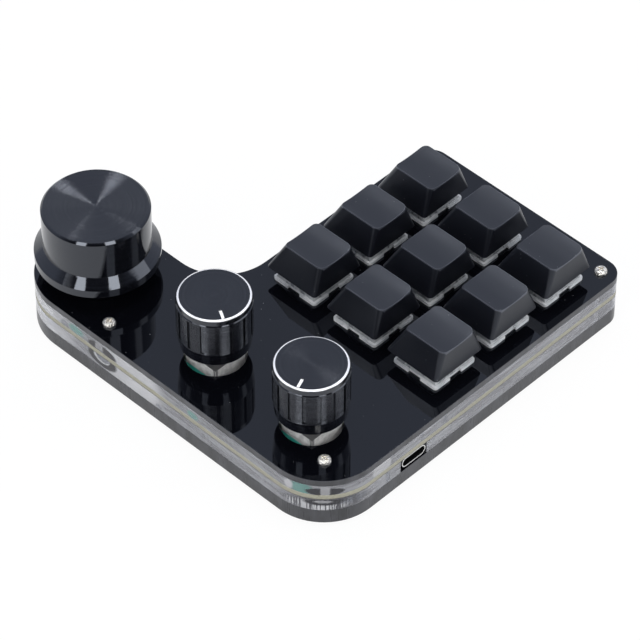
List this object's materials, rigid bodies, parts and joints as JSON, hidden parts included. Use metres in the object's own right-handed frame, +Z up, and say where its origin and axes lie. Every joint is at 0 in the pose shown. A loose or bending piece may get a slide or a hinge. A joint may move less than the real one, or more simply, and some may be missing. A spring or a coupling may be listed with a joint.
{
  "type": "macro keypad with knobs",
  "caption": "L-shaped macro keypad of stacked black and clear acrylic plates with a square field of sloped mechanical keys and a row of push-and-turn knobs.",
  "frame": {"origin": "centre of the footprint's bounding box, on the desk under the rubber feet", "axes": "+Z up; +Y towards the back edge with the cable socket, the front edge towards -Y; +X towards the side with the knobs"},
  "size_m": [0.1168, 0.1204, 0.0411],
  "materials": {
    "black_acrylic": "mirror-glossy black acrylic",
    "clear_acrylic": "clear acrylic, laser-cut",
    "board": "glass-fibre board with a cream edge",
    "rubber": "matte",
    "bright_nickel": "bright nickel plate",
    "plated_steel": "satin plated sheet",
    "switch_grey": "light grey, satin",
    "switch_milky": "milky, slightly translucent",
    "contact_brass": "tinned brass",
    "dark_plastic": "matte",
    "encoder_teal": "satin teal",
    "keycap_black": "satin black",
    "stem_red": "satin red",
    "spring_steel": "bright wire",
    "plunger_white": "satin",
    "shaft_metal": "turned",
    "knob_black": "black anodised, finely turned",
    "dark_steel": "blackened"
  },
  "bodies": {
    "case": {"top_plate": "black_acrylic", "upper_clear_frame": "clear_acrylic", "circuit_board": "board", "lower_clear_frame": "clear_acrylic", "base_plate": "black_acrylic", "rubber_feet": "rubber", "plate_screws": "bright_nickel", "plate_nuts": "bright_nickel", "upper_spacers": "bright_nickel", "lower_spacers": "bright_nickel", "switch_bases": "switch_grey", "switch_covers": "switch_milky", "switch_contacts": "contact_brass", "socket_shell": "plated_steel", "socket_tongue": "dark_plastic", "controller_chip": "dark_plastic", "diodes": "dark_plastic", "encoder_bases": "encoder_teal", "encoder_cans": "plated_steel", "encoder_pins": "bright_nickel"},
    "key_1": {"keycap_1": "keycap_black", "key_stem_1": "stem_red", "key_spring_1": "spring_steel"},
    "key_2": {"keycap_2": "keycap_black", "key_stem_2": "stem_red", "key_spring_2": "spring_steel"},
    "key_3": {"keycap_3": "keycap_black", "key_stem_3": "stem_red", "key_spring_3": "spring_steel"},
    "key_4": {"keycap_4": "keycap_black", "key_stem_4": "stem_red", "key_spring_4": "spring_steel"},
    "key_5": {"keycap_5": "keycap_black", "key_stem_5": "stem_red", "key_spring_5": "spring_steel"},
    "key_6": {"keycap_6": "keycap_black", "key_stem_6": "stem_red", "key_spring_6": "spring_steel"},
    "key_7": {"keycap_7": "keycap_black", "key_stem_7": "stem_red", "key_spring_7": "spring_steel"},
    "key_8": {"keycap_8": "keycap_black", "key_stem_8": "stem_red", "key_spring_8": "spring_steel"},
    "key_9": {"keycap_9": "keycap_black", "key_stem_9": "stem_red", "key_spring_9": "spring_steel"},
    "back_switch": {"back_plunger": "plunger_white"},
    "back_dial": {"back_shaft": "shaft_metal", "back_knob": "knob_black", "back_knob_screw": "dark_steel"},
    "middle_switch": {"middle_plunger": "plunger_white"},
    "middle_dial": {"middle_shaft": "shaft_metal", "middle_knob": "knob_black", "middle_knob_screw": "dark_steel"},
    "front_switch": {"front_plunger": "plunger_white"},
    "front_dial": {"front_shaft": "shaft_metal", "front_knob": "knob_black", "front_knob_screw": "dark_steel"}
  },
  "joints": [
    {"name": "key_1_press", "type": "slide", "parent": "case", "child": "key_1", "axis": [0, 0, -1], "range_m": [0, 0.004], "stiffness_N_per_m": 80, "springref_m": -0.005, "deforming": ["key_spring_1"]},
    {"name": "key_2_press", "type": "slide", "parent": "case", "child": "key_2", "axis": [0, 0, -1], "range_m": [0, 0.004], "stiffness_N_per_m": 80, "springref_m": -0.005, "deforming": ["key_spring_2"]},
    {"name": "key_3_press", "type": "slide", "parent": "case", "child": "key_3", "axis": [0, 0, -1], "range_m": [0, 0.004], "stiffness_N_per_m": 80, "springref_m": -0.005, "deforming": ["key_spring_3"]},
    {"name": "key_4_press", "type": "slide", "parent": "case", "child": "key_4", "axis": [0, 0, -1], "range_m": [0, 0.004], "stiffness_N_per_m": 80, "springref_m": -0.005, "deforming": ["key_spring_4"]},
    {"name": "key_5_press", "type": "slide", "parent": "case", "child": "key_5", "axis": [0, 0, -1], "range_m": [0, 0.004], "stiffness_N_per_m": 80, "springref_m": -0.005, "deforming": ["key_spring_5"]},
    {"name": "key_6_press", "type": "slide", "parent": "case", "child": "key_6", "axis": [0, 0, -1], "range_m": [0, 0.004], "stiffness_N_per_m": 80, "springref_m": -0.005, "deforming": ["key_spring_6"]},
    {"name": "key_7_press", "type": "slide", "parent": "case", "child": "key_7", "axis": [0, 0, -1], "range_m": [0, 0.004], "stiffness_N_per_m": 80, "springref_m": -0.005, "deforming": ["key_spring_7"]},
    {"name": "key_8_press", "type": "slide", "parent": "case", "child": "key_8", "axis": [0, 0, -1], "range_m": [0, 0.004], "stiffness_N_per_m": 80, "springref_m": -0.005, "deforming": ["key_spring_8"]},
    {"name": "key_9_press", "type": "slide", "parent": "case", "child": "key_9", "axis": [0, 0, -1], "range_m": [0, 0.004], "stiffness_N_per_m": 80, "springref_m": -0.005, "deforming": ["key_spring_9"]},
    {"name": "back_knob_press", "type": "slide", "parent": "case", "child": "back_switch", "axis": [0, 0, -1], "range_m": [0, 0.0005], "stiffness_N_per_m": 6000, "springref_m": -0.0005},
    {"name": "back_knob_turn", "type": "hinge", "parent": "back_switch", "child": "back_dial", "pos_m": [0.0408, 0.03805, 0.03], "axis": [0, 0, 1], "continuous": true},
    {"name": "middle_knob_press", "type": "slide", "parent": "case", "child": "middle_switch", "axis": [0, 0, -1], "range_m": [0, 0.0005], "stiffness_N_per_m": 6000, "springref_m": -0.0005},
    {"name": "middle_knob_turn", "type": "hinge", "parent": "middle_switch", "child": "middle_dial", "pos_m": [0.0408, 0.00245, 0.03], "axis": [0, 0, 1], "continuous": true},
    {"name": "front_knob_press", "type": "slide", "parent": "case", "child": "front_switch", "axis": [0, 0, -1], "range_m": [0, 0.0005], "stiffness_N_per_m": 6000, "springref_m": -0.0005},
    {"name": "front_knob_turn", "type": "hinge", "parent": "front_switch", "child": "front_dial", "pos_m": [0.0408, -0.04255, 0.03], "axis": [0, 0, 1], "continuous": true}
  ]
}
